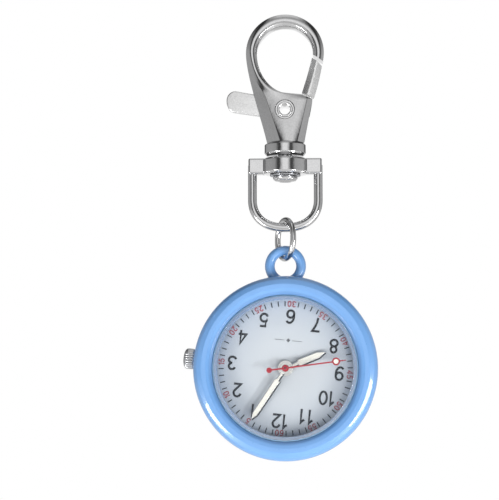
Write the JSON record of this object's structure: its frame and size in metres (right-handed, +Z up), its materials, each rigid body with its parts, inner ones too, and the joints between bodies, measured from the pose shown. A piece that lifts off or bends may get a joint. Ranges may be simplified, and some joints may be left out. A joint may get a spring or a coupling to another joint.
{
  "type": "fob watch",
  "caption": "Round quartz watch hanging by a jump ring and a D-ring from a sprung swivel hook, with its dial set so that 12 is at the bottom",
  "frame": {"origin": "the inside of the top of the hook, where the hook rests on what it hangs from", "axes": "+Z up along the hanging chain, -Y out of the dial, +X to the right of someone who faces the dial"},
  "size_m": [0.0316, 0.0081, 0.0728],
  "materials": {
    "enamel": "smooth gloss enamel",
    "chrome": "polished plate",
    "satin_steel": "fine satin",
    "spring_steel": "plain",
    "crystal": "clear polished",
    "dial_white": "fine matt",
    "hand_cream": "matt fill",
    "hand_red": "satin",
    "brass": "plain",
    "rubber": "plain",
    "nylon": "moulded",
    "black_plastic": "moulded",
    "magnet": "sintered",
    "soft_iron": "plain",
    "copper": "enamelled copper wire",
    "board_green": "plain"
  },
  "bodies": {
    "hook": {"hook_body": "chrome", "gate_spring": "spring_steel", "gate_rivet": "chrome", "swivel_post": "chrome", "swivel_washer": "spring_steel"},
    "gate": {"gate_lever": "satin_steel"},
    "swivel": {"d_ring": "chrome"},
    "link": {"jump_ring": "chrome"},
    "watch": {"case_body": "enamel", "crystal": "crystal", "crystal_gasket": "nylon", "case_back": "satin_steel", "back_gasket": "rubber", "stem_tube": "brass", "yoke": "spring_steel", "dial": "dial_white", "movement_ring": "nylon", "main_plate": "black_plastic", "train_bridge": "black_plastic", "bridge_screw_1": "spring_steel", "bridge_screw_2": "spring_steel", "bridge_screw_3": "spring_steel", "stator": "soft_iron", "coil_core": "soft_iron", "coil_winding": "copper", "coil_screw_1": "spring_steel", "coil_screw_2": "spring_steel", "circuit_board": "board_green", "quartz_can": "satin_steel", "circuit_chip": "black_plastic", "battery": "satin_steel", "battery_contact": "brass", "battery_clip": "spring_steel"},
    "clutch": {"clutch_wheel": "spring_steel"},
    "winder": {"crown": "satin_steel", "crown_gasket": "rubber", "stem": "spring_steel"},
    "detent": {"setting_lever": "spring_steel"},
    "seconds": {"seconds_wheel": "brass", "second_hand": "hand_red"},
    "rotor_arbor": {"rotor": "magnet"},
    "fifth": {"fifth_wheel": "brass"},
    "third": {"third_wheel": "brass"},
    "minutes": {"centre_wheel": "brass", "cannon_pinion": "spring_steel", "minute_hand": "hand_cream"},
    "minute_train": {"minute_wheel": "nylon"},
    "hours": {"hour_wheel": "brass", "dial_washer": "brass", "hour_hand": "hand_cream"},
    "setting": {"setting_wheel": "spring_steel"}
  },
  "joints": [
    {"name": "gate_open", "type": "hinge", "parent": "hook", "child": "gate", "pos_m": [0, 0, -0.01395], "axis": [0, -1, 0], "range_deg": [0, 22], "stiffness_Nm_per_rad": 0.02, "springref_deg": -20.05},
    {"name": "swivel_spin", "type": "hinge", "parent": "hook", "child": "swivel", "pos_m": [0, 0, -0.0231], "axis": [0, 0, 1], "continuous": true},
    {"name": "ring_swing", "type": "hinge", "parent": "swivel", "child": "link", "pos_m": [0, 0, -0.03315], "axis": [1, 0, 0], "range_deg": [-100, 100]},
    {"name": "watch_swing", "type": "hinge", "parent": "link", "child": "watch", "pos_m": [0, 0, -0.03823], "axis": [-0.4226, 0.9063, 0], "range_deg": [-60, 60]},
    {"name": "crown_turn", "type": "hinge", "parent": "watch", "child": "clutch", "pos_m": [-0.00577, 0.00115, -0.05542], "axis": [-0.9951, 0, 0.0993], "continuous": true},
    {"name": "crown_pull", "type": "slide", "parent": "clutch", "child": "winder", "axis": [-0.9951, 0, 0.0993], "range_m": [0, 0.0009]},
    {"name": "setting_lever_turn", "type": "hinge", "parent": "watch", "child": "detent", "pos_m": [-0.00693, 0, -0.0529], "axis": [0, 1, 0], "range_deg": [0, 21.6]},
    {"name": "seconds_turn", "type": "hinge", "parent": "watch", "child": "seconds", "pos_m": [0, 0, -0.056], "axis": [0, 1, 0], "continuous": true},
    {"name": "rotor_turn", "type": "hinge", "parent": "watch", "child": "rotor_arbor", "pos_m": [0.00409, 0, -0.05754], "axis": [0, 1, 0], "continuous": true},
    {"name": "fifth_turn", "type": "hinge", "parent": "watch", "child": "fifth", "pos_m": [0.00251, 0, -0.05695], "axis": [0, 1, 0], "continuous": true},
    {"name": "third_turn", "type": "hinge", "parent": "watch", "child": "third", "pos_m": [-0.00188, 0, -0.05818], "axis": [0, 1, 0], "continuous": true},
    {"name": "minute_turn", "type": "hinge", "parent": "watch", "child": "minutes", "pos_m": [0, 0, -0.056], "axis": [0, 1, 0], "continuous": true},
    {"name": "minute_wheel_turn", "type": "hinge", "parent": "watch", "child": "minute_train", "pos_m": [-0.00216, 0, -0.05496], "axis": [0, 1, 0], "continuous": true},
    {"name": "hour_turn", "type": "hinge", "parent": "watch", "child": "hours", "pos_m": [0, 0, -0.056], "axis": [0, 1, 0], "continuous": true},
    {"name": "setting_wheel_turn", "type": "hinge", "parent": "watch", "child": "setting", "pos_m": [-0.00488, 0, -0.05565], "axis": [0, 1, 0], "continuous": true}
  ],
  "couplings": [
    {"joint": "setting_lever_turn", "follows": "crown_pull", "rad_per_m": 416.67},
    {"joint": "rotor_turn", "follows": "seconds_turn", "ratio": 30},
    {"joint": "fifth_turn", "follows": "seconds_turn", "ratio": -5},
    {"joint": "third_turn", "follows": "seconds_turn", "ratio": -0.125},
    {"joint": "minute_turn", "follows": "seconds_turn", "ratio": 0.016667},
    {"joint": "minute_wheel_turn", "follows": "seconds_turn", "ratio": -0.0055556},
    {"joint": "hour_turn", "follows": "seconds_turn", "ratio": 0.0013889},
    {"joint": "setting_wheel_turn", "follows": "seconds_turn", "ratio": 0.01}
  ]
}
